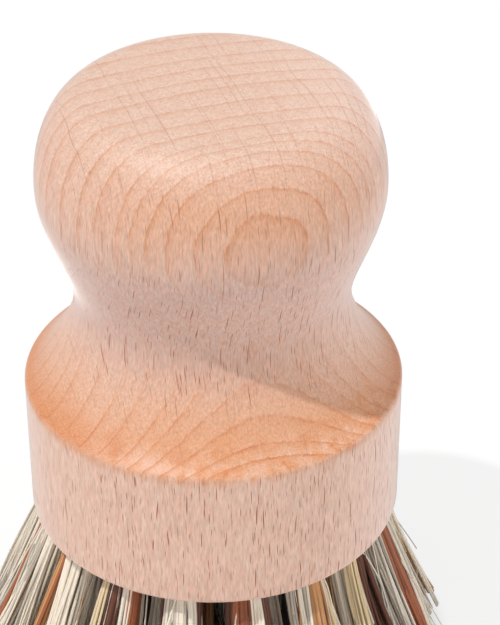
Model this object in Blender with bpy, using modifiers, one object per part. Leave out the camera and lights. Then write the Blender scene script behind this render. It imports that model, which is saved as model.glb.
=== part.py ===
"""Dish brush: one turned beech block with a knob to hold, set with folded tufts of mixed plant fibre.

Sizes are in metres. +Z runs up the turning axis, and the origin is the middle of the footprint: the brush
stands on its trimmed fibre tips. Each tuft is folded in its drilled hole over the crown of a wire staple,
whose two legs are driven on into the wood.
"""

import math

import bmesh
import bpy
from mathutils import Matrix, Vector

# Turned block, from its underside upwards
BASE_RADIUS = 0.0300
FOOT_ROUNDING = 0.0011
WALL_HEIGHT = 0.0242
RIM_ROUNDING = 0.0010
SHOULDER_SLOPE = math.radians(26.3)
SHOULDER_RUN = 0.0029  # how firmly the shoulder keeps its slope before it turns up
WAIST_RISE = 0.0149
WAIST_RADIUS = 0.02155
WAIST_EASE_BELOW = 0.0058
WAIST_EASE_ABOVE = 0.0060
KNOB_RISE = 0.0193
KNOB_RADIUS = 0.0266
KNOB_EASE_BELOW = 0.0068
KNOB_EASE_ABOVE = 0.0093
CAP_RISE = 0.0147
TOP_RADIUS = 0.0184  # where the rounded shoulder of the knob meets the nearly flat top
TOP_EASE = 0.0038
DOME_RISE = 0.0008
TURNING_STEPS = 48

# Drilled holes
HOLE_RADIUS = 0.0030
HOLE_DEPTH = 0.0110
EDGE_WOOD = 0.0025  # wood left between the outer holes and the block's wall
INNER_WEB = 0.0018  # wood left between neighbouring holes of the inner ring
SPLAY_ANGLE = math.radians(14.0)  # outward lean of the outer ring's holes
RING_COUNTS = {"inner": 4, "middle": 8, "outer": 16}
HOLE_SIDES = 12
DRILL_OVERRUN = 0.0020

# Wire staples
WIRE_RADIUS = 0.00045
CROWN_HEIGHT = 0.0024  # middle of the crown above the bottom of the hole
LEG_REACH = 0.0060  # how far the legs go into the wood past the bottom of the hole
STAPLE_BEND = 0.0005

# Tufts
BRISTLE_HEIGHT = 0.0320
PLUG_RECESS = 0.0008  # the packed root ends this far inside the mouth of its hole
FOLD_CHAMFER = 0.0007
PLUG_SIDES = 8
STRAND_RADIUS = 0.00055
STRAND_TIP_RADIUS = 0.00075
STRAND_MARGIN = 0.00015
STRAND_BITE = 0.0012  # how deep a strand starts in the packed root
STRAND_RINGS = ((3, 0.42), (8, 1.0))  # strands in each ring, and that ring's share of the root's width
STRAND_STOP = 0.5  # where a strand bends, between the mouth of its hole and its tip
TIP_BEND = 0.0036  # how far the outer tips curl out past the line of their holes
TUFT_GAP = 0.0015  # left between neighbouring tufts at the tips
TRIM_DEPTH = 0.0005

GAP = 0.0003  # between pieces that touch

UP = Vector((0.0, 0.0, 1.0))


def linear_colour(code):
    """The linear RGBA of an sRGB hex code."""
    channels = [int(code[i : i + 2], 16) / 255 for i in (0, 2, 4)]
    return [c / 12.92 if c <= 0.04045 else ((c + 0.055) / 1.055) ** 2.4 for c in channels] + [1.0]


def make_material(name, code, roughness, metallic=0.0):
    material = bpy.data.materials.new(name)
    material.use_nodes = True
    shader = material.node_tree.nodes["Principled BSDF"]
    shader.inputs["Base Color"].default_value = linear_colour(code)
    shader.inputs["Roughness"].default_value = roughness
    shader.inputs["Metallic"].default_value = metallic
    material.diffuse_color = linear_colour(code)
    return material


def make_collection(name):
    collection = bpy.data.collections.new(name)
    bpy.context.scene.collection.children.link(collection)
    return collection


def add_object(name, data, collection):
    obj = bpy.data.objects.new(name, data)
    collection.objects.link(obj)
    return obj


def add_helper(name, data):
    """A guide or a cutter: it shapes the parts, and is never one itself."""
    helper = add_object(name, data, bpy.data.collections["shaping"])
    helper.hide_render = True
    helper.display_type = "WIRE"
    return helper


def add_boolean(obj, operation, other):
    modifier = obj.modifiers.new(operation.lower(), "BOOLEAN")
    modifier.operation = operation
    if isinstance(other, bpy.types.Collection):
        modifier.operand_type = "COLLECTION"
        modifier.collection = other
    else:
        modifier.object = other


def evaluated_mesh(obj, sharp_angle=math.radians(30)):
    """A mesh of the object with its modifiers and placing applied, closed along its seams."""
    bpy.context.view_layer.update()
    graph = bpy.context.evaluated_depsgraph_get()
    mesh = bpy.data.meshes.new_from_object(obj.evaluated_get(graph), depsgraph=graph)
    mesh.transform(obj.matrix_world)
    work = bmesh.new()
    work.from_mesh(mesh)
    bmesh.ops.remove_doubles(work, verts=work.verts, dist=1e-7)
    work.to_mesh(mesh)
    work.free()
    mesh.shade_smooth()
    mesh.set_sharp_from_angle(angle=sharp_angle)
    return mesh


def arc(centre, radius, start, end, count):
    """Points on a circle in the profile's plane, both ends included."""
    angles = [start + (end - start) * i / (count - 1) for i in range(count)]
    return [(centre[0] + radius * math.cos(a), centre[1] + radius * math.sin(a)) for a in angles]


def ease(start, start_handle, end_handle, end, count):
    """Points on a cubic curve from start to end, leaving out both of them."""
    points = []
    for i in range(1, count):
        t = i / count
        weights = ((1 - t) ** 3, 3 * (1 - t) ** 2 * t, 3 * (1 - t) * t**2, t**3)
        corners = (start, start_handle, end_handle, end)
        points.append(tuple(sum(w * c[k] for w, c in zip(weights, corners)) for k in (0, 1)))
    return points


def block_profile():
    """The block's outline as (radius, height over the underside), from the top's middle down to the foot."""
    waist_height = WALL_HEIGHT + WAIST_RISE
    knob_height = waist_height + KNOB_RISE
    top_height = knob_height + CAP_RISE
    dome_radius = (TOP_RADIUS**2 + DOME_RISE**2) / (2 * DOME_RISE)
    dome_angle = math.asin(TOP_RADIUS / dome_radius)
    dome_centre = (0.0, top_height + DOME_RISE - dome_radius)
    right_angle = math.pi / 2
    dome = arc(dome_centre, dome_radius, right_angle, right_angle - dome_angle, 4)
    dome[0] = (0.0, top_height + DOME_RISE)

    top_edge = (TOP_RADIUS, top_height)
    cap_handle = (
        TOP_RADIUS + TOP_EASE * math.cos(dome_angle),
        top_height - TOP_EASE * math.sin(dome_angle),
    )
    knob = (KNOB_RADIUS, knob_height)
    cap = ease(top_edge, cap_handle, (KNOB_RADIUS, knob_height + KNOB_EASE_ABOVE), knob, 9)

    waist = (WAIST_RADIUS, waist_height)
    knob_handle = (KNOB_RADIUS, knob_height - KNOB_EASE_BELOW)
    neck = ease(knob, knob_handle, (WAIST_RADIUS, waist_height + WAIST_EASE_ABOVE), waist, 7)

    rim_turn = right_angle - SHOULDER_SLOPE
    rim_centre = (
        BASE_RADIUS - RIM_ROUNDING,
        WALL_HEIGHT - RIM_ROUNDING * math.tan(rim_turn / 2),
    )
    rim = arc(rim_centre, RIM_ROUNDING, rim_turn, 0.0, 4)
    shoulder_handle = (
        rim[0][0] - SHOULDER_RUN * math.cos(SHOULDER_SLOPE),
        rim[0][1] + SHOULDER_RUN * math.sin(SHOULDER_SLOPE),
    )
    waist_handle = (WAIST_RADIUS, waist_height - WAIST_EASE_BELOW)
    shoulder = ease(waist, waist_handle, shoulder_handle, rim[0], 6)

    foot_centre = (BASE_RADIUS - FOOT_ROUNDING, FOOT_ROUNDING)
    foot = arc(foot_centre, FOOT_ROUNDING, 0.0, -right_angle, 4)
    return dome + cap + [knob] + neck + [waist] + shoulder + rim + foot


def turned_block():
    """The block before it is drilled: its profile turned round the axis, with a flat underside."""
    profile = [(radius, 0.0, BRISTLE_HEIGHT + height) for radius, height in block_profile()]
    outline = bpy.data.meshes.new("block_outline")
    outline.from_pydata(profile, [(i, i + 1) for i in range(len(profile) - 1)], [])
    guide = add_helper("block_outline", outline)
    screw = guide.modifiers.new("turning", "SCREW")
    screw.steps = TURNING_STEPS
    screw.render_steps = TURNING_STEPS
    screw.use_merge_vertices = True
    screw.merge_threshold = 1e-5
    mesh = evaluated_mesh(guide)
    bpy.data.objects.remove(guide)
    work = bmesh.new()
    work.from_mesh(mesh)
    rim_edges = [edge for edge in work.edges if edge.is_boundary]
    bmesh.ops.holes_fill(work, edges=rim_edges, sides=0)
    bmesh.ops.recalc_face_normals(work, faces=work.faces)
    work.to_mesh(mesh)
    work.free()
    return mesh


def ring_radius(ring):
    """The radius of a ring of holes at the block's underside."""
    outer = BASE_RADIUS - EDGE_WOOD - HOLE_RADIUS
    inner = (2 * HOLE_RADIUS + INNER_WEB) / (2 * math.sin(math.pi / RING_COUNTS["inner"]))
    return {"inner": inner, "middle": (inner + outer) / 2, "outer": outer}[ring]


def ring_share(ring):
    return ring_radius(ring) / ring_radius("outer")


def ring_tilt(ring):
    """The holes fan out from the axis, so a ring leans in proportion to its radius."""
    return SPLAY_ANGLE * ring_share(ring)


def hole_frame(ring):
    """The hole on +X: its origin in the mouth, its Z into the wood, its Y across the fold."""
    mouth = Matrix.Translation((ring_radius(ring), 0.0, BRISTLE_HEIGHT))
    return mouth @ Matrix.Rotation(-ring_tilt(ring), 4, "Y")


def tuft_centre(ring, t):
    """A tuft's middle radius at t, which runs from 0 at the mouth of the hole to 1 at the tips."""
    bend = TIP_BEND * ring_share(ring) * max(t, 0.0) ** 2
    return ring_radius(ring) + math.tan(ring_tilt(ring)) * BRISTLE_HEIGHT * t + bend


def tip_reach(ring):
    """How far a tuft's outer strands may stand from its middle at the tips, clear of its neighbours."""
    rooms = [tuft_centre(ring, 1.0) * math.sin(math.pi / RING_COUNTS[ring])]
    for other in RING_COUNTS:
        if other != ring:
            rooms.append(abs(tuft_centre(other, 1.0) - tuft_centre(ring, 1.0)) / 2)
    return min(rooms) - TUFT_GAP / 2 - STRAND_TIP_RADIUS


def staple_path():
    """The middle of the staple's wire as (across, height over the hole's bottom), leg to leg."""
    side = HOLE_RADIUS - GAP / 2 - (WIRE_RADIUS + GAP)
    corner = arc((side - STAPLE_BEND, CROWN_HEIGHT - STAPLE_BEND), STAPLE_BEND, 0.0, math.pi / 2, 3)
    half = [(side, -LEG_REACH)] + corner
    return [(-across, height) for across, height in half] + half[::-1]


def staple_mesh(ring):
    curve = bpy.data.curves.new("staple_wire", "CURVE")
    curve.dimensions = "3D"
    curve.bevel_depth = WIRE_RADIUS
    curve.bevel_resolution = 1
    curve.use_fill_caps = True
    path = staple_path()
    spline = curve.splines.new("POLY")
    spline.points.add(len(path) - 1)
    for point, (across, height) in zip(spline.points, path):
        point.co = (0.0, across, HOLE_DEPTH - height, 1.0)
    wire = add_helper("staple_wire", curve)
    wire.matrix_world = hole_frame(ring)
    mesh = evaluated_mesh(wire)
    bpy.data.objects.remove(wire)
    return mesh


def staple_passage(ring):
    """The room that a staple needs in the packed root and in the wood: its own U, wider by the gap."""
    room = WIRE_RADIUS + GAP
    side = max(across for across, height in staple_path())
    low = -LEG_REACH - GAP
    outline = [
        (side + room, low),
        (side + room, CROWN_HEIGHT + room),
        (-side - room, CROWN_HEIGHT + room),
        (-side - room, low),
        (-side + room, low),
        (-side + room, CROWN_HEIGHT - room),
        (side - room, CROWN_HEIGHT - room),
        (side - room, low),
    ]
    curve = bpy.data.curves.new("staple_passage", "CURVE")
    curve.dimensions = "2D"
    curve.fill_mode = "BOTH"
    curve.extrude = room
    spline = curve.splines.new("POLY")
    spline.points.add(len(outline) - 1)
    for point, (across, height) in zip(spline.points, outline):
        point.co = (across, HOLE_DEPTH - height, 0.0, 1.0)
    spline.use_cyclic_u = True
    flat = add_helper("staple_passage_outline", curve)
    # The outline's X runs across the hole and its Y into the wood
    stand = Matrix(((0, 0, 1, 0), (1, 0, 0, 0), (0, 1, 0, 0), (0, 0, 0, 1)))
    flat.matrix_world = hole_frame(ring) @ stand
    mesh = evaluated_mesh(flat)
    bpy.data.objects.remove(flat)
    return add_helper("staple_passage_" + ring, mesh)


def round_bar(name, radius, sides, low, high, frame, chamfer=0.0):
    """A bar along the hole's axis, from low to high over the mouth, with its deep end chamfered."""
    mesh = bpy.data.meshes.new(name)
    work = bmesh.new()
    middle = Matrix.Translation(UP * (low + high) / 2)
    bmesh.ops.create_cone(
        work, cap_ends=True, segments=sides, radius1=radius, radius2=radius, depth=high - low, matrix=middle
    )
    if chamfer:
        deep_edges = [e for e in work.edges if all(v.co.z > (low + high) / 2 for v in e.verts)]
        bmesh.ops.bevel(work, geom=deep_edges, offset=chamfer, segments=1, affect="EDGES")
    work.to_mesh(mesh)
    work.free()
    mesh.transform(frame)
    return add_helper(name, mesh)


def strand_offsets():
    """Where the strands stand in the packed root: (outward, across) from its middle."""
    room = HOLE_RADIUS - GAP - STRAND_RADIUS - STRAND_MARGIN
    places = []
    for count, share in STRAND_RINGS:
        for i in range(count):
            turn = 2 * math.pi * (i + 0.5) / count
            places.append((room * share * math.cos(turn), room * share * math.sin(turn)))
    return places, room


def strand_path(ring, outward, across, room):
    """One strand as (middle, thickness), from inside the root to just past the trimmed tips."""
    root = -(PLUG_RECESS + STRAND_BITE) / BRISTLE_HEIGHT
    end = 1.0 + TRIM_DEPTH / BRISTLE_HEIGHT
    stops = []
    for t in (root, STRAND_STOP, end):
        grown = max(t, 0.0)
        spread = 1.0 + (tip_reach(ring) / room - 1.0) * grown
        middle = (tuft_centre(ring, t) + outward * spread, across * spread, BRISTLE_HEIGHT * (1 - t))
        stops.append((middle, 1.0 + (STRAND_TIP_RADIUS / STRAND_RADIUS - 1.0) * grown))
    return stops


def strand_section():
    """The three-sided outline that is drawn along each strand."""
    curve = bpy.data.curves.new("strand_section", "CURVE")
    curve.dimensions = "2D"
    spline = curve.splines.new("POLY")
    spline.points.add(2)
    for i, point in enumerate(spline.points):
        turn = -2 * math.pi * i / 3
        point.co = (STRAND_RADIUS * math.cos(turn), STRAND_RADIUS * math.sin(turn), 0.0, 1.0)
    spline.use_cyclic_u = True
    return add_helper("strand_section", curve)


def strands(ring, fibres):
    """The ring's strands as one helper, with every fourth dark and every fourth yellow or tan."""
    curve = bpy.data.curves.new("strands_" + ring, "CURVE")
    curve.dimensions = "3D"
    curve.bevel_mode = "OBJECT"
    section = strand_section()
    curve.bevel_object = section
    curve.use_fill_caps = True
    for fibre in fibres:
        curve.materials.append(fibre)
    places, room = strand_offsets()
    for i, (outward, across) in enumerate(places):
        path = strand_path(ring, outward, across, room)
        spline = curve.splines.new("POLY")
        spline.points.add(len(path) - 1)
        spline.material_index = (0, 1, 0, 2)[i % 4]
        for point, (middle, thickness) in zip(spline.points, path):
            point.co = (*middle, 1.0)
            point.radius = thickness
    drawn = add_helper("strand_curves", curve)
    mesh = evaluated_mesh(drawn)
    bpy.data.objects.remove(drawn)
    bpy.data.objects.remove(section)
    return add_helper("strands_" + ring, mesh)


def trimmer():
    """The space under the plane that the tips are trimmed to."""
    mesh = bpy.data.meshes.new("trimmer")
    work = bmesh.new()
    bmesh.ops.create_cube(work, size=1.0)
    work.to_mesh(mesh)
    work.free()
    width = 4 * BASE_RADIUS + 2 * BRISTLE_HEIGHT
    depth = BRISTLE_HEIGHT
    mesh.transform(Matrix.Translation(UP * -depth / 2) @ Matrix.Diagonal((width, width, depth, 1.0)))
    return add_helper("trimmer", mesh)


def tuft_mesh(ring, fibres, passage, trim):
    """One tuft: the root folded and packed in its hole, with its strands, trimmed to the plane of the tips."""
    frame = hole_frame(ring)
    radius = HOLE_RADIUS - GAP
    root = round_bar(
        "root_" + ring, radius, PLUG_SIDES, PLUG_RECESS, HOLE_DEPTH - GAP, frame, FOLD_CHAMFER
    )
    for fibre in fibres:
        root.data.materials.append(fibre)
    add_boolean(root, "UNION", strands(ring, fibres))
    add_boolean(root, "DIFFERENCE", passage)
    add_boolean(root, "DIFFERENCE", trim)
    return evaluated_mesh(root)


def drill(ring, passage):
    """What is cut from the wood for one tuft: the drilled hole and the holes of the staple's legs."""
    bar = round_bar(
        "drill_bar_" + ring, HOLE_RADIUS, HOLE_SIDES, -DRILL_OVERRUN, HOLE_DEPTH, hole_frame(ring)
    )
    add_boolean(bar, "UNION", passage)
    return evaluated_mesh(bar)


def set_ring(ring, name, mesh, collection, parent=None):
    """Copies of one mesh round the axis, each with its origin in the mouth of its hole."""
    mouth = Vector((ring_radius(ring), 0.0, BRISTLE_HEIGHT))
    mesh.transform(Matrix.Translation(-mouth))
    made = []
    count = RING_COUNTS[ring]
    for i in range(count):
        turn = Matrix.Rotation(2 * math.pi * (i + 0.5) / count, 4, "Z")
        copy = add_object("{}_{}_{}".format(name, ring, i + 1), mesh, collection)
        copy.matrix_world = turn @ Matrix.Translation(mouth)
        copy.parent = parent
        made.append(copy)
    return made


def build():
    for old in list(bpy.data.objects):
        bpy.data.objects.remove(old)
    parts = make_collection("dish_brush")
    make_collection("shaping")
    drills = make_collection("drills")
    axis = add_object("dish_brush", None, parts)
    axis.empty_display_size = BASE_RADIUS

    beech = make_material("turned_beech", "E6C3A5", 0.55)
    steel = make_material("bright_steel_wire", "B9BBBD", 0.30, 1.0)
    fibres = [
        make_material("pale_agave_fibre", "E9DCB8", 0.60),
        make_material("golden_agave_fibre", "CFA566", 0.60),
        make_material("brown_palm_fibre", "5C3220", 0.65),
    ]

    trim = trimmer()
    for ring in RING_COUNTS:
        passage = staple_passage(ring)
        set_ring(ring, "tuft", tuft_mesh(ring, fibres, passage, trim), parts, axis)
        wire = staple_mesh(ring)
        wire.materials.append(steel)
        set_ring(ring, "staple", wire, parts, axis)
        for cutter in set_ring(ring, "drill", drill(ring, passage), drills):
            cutter.hide_render = True
            cutter.display_type = "WIRE"

    blank = add_helper("turned_blank", turned_block())
    add_boolean(blank, "DIFFERENCE", drills)
    block = add_object("handle_block", evaluated_mesh(blank), parts)
    block.data.materials.append(beech)
    block.parent = axis
    for helper in list(bpy.data.collections["shaping"].objects) + list(drills.objects):
        bpy.data.objects.remove(helper)
    for collection in (bpy.data.collections["shaping"], drills):
        bpy.data.collections.remove(collection)


build()
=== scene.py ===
"""Looks of a dish brush: a turned beech block with a knob to hold, set with tufts of mixed plant fibre.

Sizes are in metres and +Z is up. The brush stands on its trimmed fibre tips at z = 0, and every piece is
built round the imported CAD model, which stays where it is.
"""

import math
import random

import bpy
from bpy.props import FloatProperty, FloatVectorProperty, IntProperty, PointerProperty
from mathutils import Matrix, Vector


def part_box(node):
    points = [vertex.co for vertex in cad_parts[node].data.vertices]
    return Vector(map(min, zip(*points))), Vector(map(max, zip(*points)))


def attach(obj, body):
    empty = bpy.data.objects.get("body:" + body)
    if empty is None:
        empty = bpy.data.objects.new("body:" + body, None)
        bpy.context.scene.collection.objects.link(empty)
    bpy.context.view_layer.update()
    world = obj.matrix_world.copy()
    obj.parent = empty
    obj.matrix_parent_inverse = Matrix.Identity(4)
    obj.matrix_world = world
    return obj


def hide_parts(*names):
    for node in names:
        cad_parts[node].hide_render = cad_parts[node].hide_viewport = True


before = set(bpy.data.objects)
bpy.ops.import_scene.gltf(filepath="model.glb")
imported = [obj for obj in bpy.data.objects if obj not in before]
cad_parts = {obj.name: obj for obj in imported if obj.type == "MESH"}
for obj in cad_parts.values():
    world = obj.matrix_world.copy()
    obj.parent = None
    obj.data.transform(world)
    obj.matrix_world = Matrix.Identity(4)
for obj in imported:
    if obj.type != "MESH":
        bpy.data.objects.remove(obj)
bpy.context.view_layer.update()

bl_info = {
    "name": "Dish brush",
    "version": (1, 0, 0),
    "blender": (4, 5, 0),
    "location": "3D View > Sidebar > Dish brush",
    "description": "Builds a turned beech dish brush with folded tufts of plant fibre, and its studio",
    "category": "Object",
}

BLOCK_LOW, BLOCK_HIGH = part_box("handle_block")
RINGS = {"inner": 4, "middle": 8, "outer": 16}

# Room between pieces that touch, as in the CAD model, and between a fibre and the side of its hole
GAP, FIBRE_GAP = 0.0003, 0.0001

# How far the drill starts outside the block, and the flats round the holes of the staples' legs
DRILL_OVERRUN, LEG_HOLE_SIDES = 0.002, 8

# Points along half a fibre, and the sides of a fibre, which its curve gives without any rounding
HALF_FIBRE_POINTS, FIBRE_SIDES = 8, 4

# Growth-ring edges of the blank, in millimetres from the turning axis towards the bark. They hold at
# RING_HEIGHT over the floor, and RING_BEND times the square of the way sideways bends them.
RING_HEIGHT, RING_BEND = 105.0, -0.002
RING_EDGES = (
    -31.5, -27.0, -22.3, -17.8, -13.7, -9.2, -5.5, -1.75, 1.4, 6.0, 10.0,
    13.1, 16.3, 18.0, 19.8, 21.6, 23.6, 24.95, 27.3, 29.2, 31.5,
)  # fmt: skip

# Parts of the block between which the wood's looks change, in millimetres over its waist: each grows from
# nothing at its first height to the whole at its second
WOOD_ZONES = {
    "shoulder": (4.9, -2.1),
    "over the shoulder": (-7.1, 0.9),
    "under the knob": (22.9, 14.9),
    "fading rays": (8.9, 19.9),
    "knob": (15.9, 23.9),
    "knob's top": (22.9, 31.9),
}

# Kinds of fibre in the mix, with how many of a hundred fibres are of each
FIBRE_KINDS = {"cream": 46, "straw": 11, "golden": 12, "russet": 19, "umber": 12}

# Outer tufts that face the camera: their share of the tips' curl, and their locks of fibre from left to right
FACING_TUFTS = {
    8: (1.0, "cream cream cream cream cream cream"),
    9: (1.0, "cream russet cream cream cream cream"),
    10: (1.0, "straw golden cream cream cream cream"),
    11: (0.9, "cream straw umber cream cream russet"),
    12: (0.9, "umber cream cream cream cream umber"),
    13: (0.9, "umber russet russet cream cream umber"),
    14: (0.9, "cream golden cream cream golden straw"),
    15: (0.9, "cream straw cream umber umber umber"),
    16: (0.7, "cream cream russet cream cream cream"),
    1: (0.5, "cream cream cream cream golden cream"),
}

# Sockets of a colour Mix node
FACTOR, COLOUR_A, COLOUR_B = 0, 6, 7


def linear(code):
    """The linear RGBA of an sRGB hex code."""
    channels = [int(code[i : i + 2], 16) / 255 for i in (0, 2, 4)]
    return (*(c / 12.92 if c <= 0.04045 else ((c + 0.055) / 1.055) ** 2.4 for c in channels), 1.0)


def length(name, description, default):
    return FloatProperty(name=name, description=description, default=default, precision=5, unit="LENGTH")


def angle(name, description, default):
    return FloatProperty(name=name, description=description, default=math.radians(default), unit="ROTATION")


def number(name, description, default):
    return FloatProperty(name=name, description=description, default=default)


def position(name, description, default):
    return FloatVectorProperty(name=name, description=description, default=default, unit="LENGTH")


def colour(name, description, code):
    return FloatVectorProperty(
        name=name, description=description, default=linear(code), size=4, min=0, max=1, subtype="COLOR"
    )


class BlockSettings(bpy.types.PropertyGroup):
    """The turned block, from its underside upwards, and the colours of its wood."""

    base_radius: length("Base radius", "Radius of the drilled base", (BLOCK_HIGH.x - BLOCK_LOW.x) / 2)
    foot_rounding: length("Foot rounding", "Radius of the edge round the underside", 0.0011)
    wall_height: length("Wall height", "Height of the base's straight wall", 0.0242)
    rim_rounding: length("Rim rounding", "Radius of the edge between the wall and the shoulder", 0.0010)
    shoulder_slope: angle("Shoulder slope", "Slope of the shoulder at its rim", 26.3)
    shoulder_run: length("Shoulder run", "How firmly the shoulder keeps its slope", 0.0029)
    waist_rise: length("Waist rise", "Height of the waist over the wall", 0.0149)
    waist_radius: length("Waist radius", "Radius of the waist", 0.02155)
    waist_ease_below: length("Waist ease below", "How slowly the waist turns out below", 0.0058)
    waist_ease_above: length("Waist ease above", "How slowly the waist turns out above", 0.0060)
    knob_rise: length("Knob rise", "Height of the knob's widest ring over the waist", 0.0193)
    knob_radius: length("Knob radius", "Radius of the knob", 0.0266)
    knob_ease_below: length("Knob ease below", "How full the knob is below its widest ring", 0.0068)
    knob_ease_above: length("Knob ease above", "How full the knob is above its widest ring", 0.0093)
    cap_rise: length("Cap rise", "Height of the top's edge over the widest ring", 0.0147)
    top_radius: length("Top radius", "Radius of the nearly flat top", 0.0184)
    top_ease: length("Top ease", "How tightly the top's edge is rounded", 0.0038)
    dome_rise: length("Dome rise", "How far the top is domed", 0.0008)
    steps: IntProperty(name="Steps", description="Flats round the turned surface", default=192, min=24)
    hole_sides: IntProperty(name="Hole sides", description="Flats round each drilled hole", default=24, min=8)
    ring_bearing: angle("Ring bearing", "Turn of the growth rings about the axis", 18.2)
    ring_tilt: number("Ring tilt", "How far the ring edges lean over for each unit of height", 0.06)
    end_grain: colour("End grain", "Pale wood of the top, where the saw crossed the grain", "ECCCB8")
    face_grain: colour("Face grain", "Pale wood of the wall and knob, cut along the grain", "EBC6B2")
    # Painted shade: the greyer, lilac tint of the neck stands in for the shade under the knob's overhang
    neck_painted_shade: colour("Neck shade", "Greyer wood of the neck, where the fibres are roughened", "DAB9AC")
    late_wood: colour("Late wood", "The dark edge of each growth ring", "D2824E")
    burnished: colour("Burnished wood", "Warm sloping grain, rubbed by the turning tool", "E2A379")
    blush: colour("Blush", "Pinker streaks in the pale wood", "D99F84")
    # Painted sheen: a pale colour that the wood's right side is mixed towards, standing in for light
    # reflected there at grazing angles
    painted_right_sheen: colour("Painted sheen", "Palest wood, on one side of the blank", "FADDD1")
    ray: colour("Rays", "Flecks and lines of the wood's rays", "9A4A2C")


class TuftSettings(bpy.types.PropertyGroup):
    """The drilled holes and the folded fibres in them."""

    hole_radius: length("Hole radius", "Radius of each drilled hole", 0.0030)
    hole_depth: length("Hole depth", "Depth of each drilled hole", 0.0110)
    edge_wood: length("Edge wood", "Wood between the outer holes and the wall", 0.0025)
    inner_web: length("Inner web", "Wood between neighbouring inner holes", 0.0018)
    splay: angle("Splay", "Outward lean of the outer holes", 14.0)
    crown_height: length("Crown height", "Staple's crown over the bottom of the hole", 0.0024)
    leg_reach: length("Leg reach", "How far the staple's legs go past the hole", 0.0060)
    wire_radius: length("Wire radius", "Radius of the staple's wire", 0.00045)
    fibres: IntProperty(name="Fibres", description="Folded fibres in each tuft", default=100, min=1)
    locks: IntProperty(name="Locks", description="Locks of like fibres in each tuft", default=6, min=1)
    purity: number("Purity", "Share of a lock's fibres that are of its kind", 0.93)
    loose: number("Loose", "Share of the fibres that have come loose", 0.04)
    broken: number("Broken", "Share of the ends that have broken off short", 0.04)
    fine_radius: length("Fine radius", "Radius of the finest fibres", 0.00022)
    coarse_radius: length("Coarse radius", "Radius of the coarsest fibres", 0.00042)
    tip_bend: length("Tip bend", "How far the outer tips curl out past their holes", 0.0036)
    tip_spread: length("Tip spread", "Radius that a tuft spreads to at its tips", 0.0054)
    wander: length("Wander", "How far fibres stray from an even spread", 0.0009)
    trim: length("Trim", "Unevenness of the trimmed tips", 0.0006)
    reach: length("Reach", "Widest radius that any fibre bends out to", 0.0424)
    seed: IntProperty(name="Seed", description="Start of the random draws", default=7)
    cream: colour("Cream", "Bleached agave fibre", "FFF2DE")
    straw: colour("Straw", "Unbleached agave fibre", "F6DDB0")
    golden: colour("Golden", "Golden-brown agave fibre", "E3A468")
    russet: colour("Russet", "Red-brown palm fibre", "B46842")
    umber: colour("Umber", "Dark palm fibre", "6C3E28")


class StapleSettings(bpy.types.PropertyGroup):
    """The wire staples, whose shape is the CAD model's own."""

    steel: colour("Steel", "Bright drawn wire", "C3C5C7")


class StageSettings(bpy.types.PropertyGroup):
    """The floor, lamp, sky and camera."""

    floor_size: length("Floor size", "Side of the floor", 4.0)
    left: number("Left", "Strength of the soft light from the left", 0.54)
    right: number("Right", "Strength of the soft light from the right", 1.40)
    back: number("Back", "Strength of the soft light from behind", 0.16)
    front: number("Front", "Strength of the soft light from the camera's side", 0.38)
    above: number("Above", "Strength of the soft light from above", 0.30)
    lamp: number("Lamp", "Strength of the lamp", 2.02)
    lamp_bearing: angle("Lamp bearing", "Bearing of the lamp from the camera's side, to the right", -56.1)
    lamp_height: angle("Lamp height", "Height of the lamp over the horizon", 64.4)
    lamp_width: angle("Lamp width", "How wide the lamp looks from the brush", 1.6)
    shadow_share: number("Shadow share", "Share of the board's white that changes with its light", 0.19)
    camera_place: position("Camera place", "Where the camera stands", (0.0058, -0.27344, 0.24460))
    camera_aim: position("Camera aim", "The point the camera looks at", (0.0058, 0.0, 0.06611))
    camera_roll: angle("Camera roll", "Turn of the camera about its own view", -0.069)
    camera_lens: number("Lens", "Focal length in millimetres", 120.1)


class DishBrushSettings(bpy.types.PropertyGroup):
    """Everything that a user of the add-on may change."""

    block: PointerProperty(type=BlockSettings)
    tufts: PointerProperty(type=TuftSettings)
    staples: PointerProperty(type=StapleSettings)
    stage: PointerProperty(type=StageSettings)


# Modelling


def deselect():
    bpy.ops.object.select_all(action="DESELECT")


def select_only(obj):
    deselect()
    obj.select_set(True)
    bpy.context.view_layer.objects.active = obj


def finish_piece(piece, materials, *nodes):
    """Gives a piece its finishes, and lets it stand for its CAD nodes on the brush's one body."""
    piece.data.name = piece.name
    for material in materials:
        piece.data.materials.append(material)
    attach(piece, "root")
    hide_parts(*nodes)


def arc(centre, radius, start, end, count):
    """Points on a circle in the profile's plane, both ends included."""
    turns = [start + (end - start) * i / (count - 1) for i in range(count)]
    return [(centre[0] + radius * math.cos(a), centre[1] + radius * math.sin(a)) for a in turns]


def ease(start, start_handle, end_handle, end, count):
    """Points on a cubic curve from start to end, leaving out both of them."""
    points = []
    for i in range(1, count):
        t = i / count
        weights = ((1 - t) ** 3, 3 * (1 - t) ** 2 * t, 3 * (1 - t) * t**2, t**3)
        corners = (start, start_handle, end_handle, end)
        points.append(tuple(sum(w * c[k] for w, c in zip(weights, corners)) for k in (0, 1)))
    return points


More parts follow.
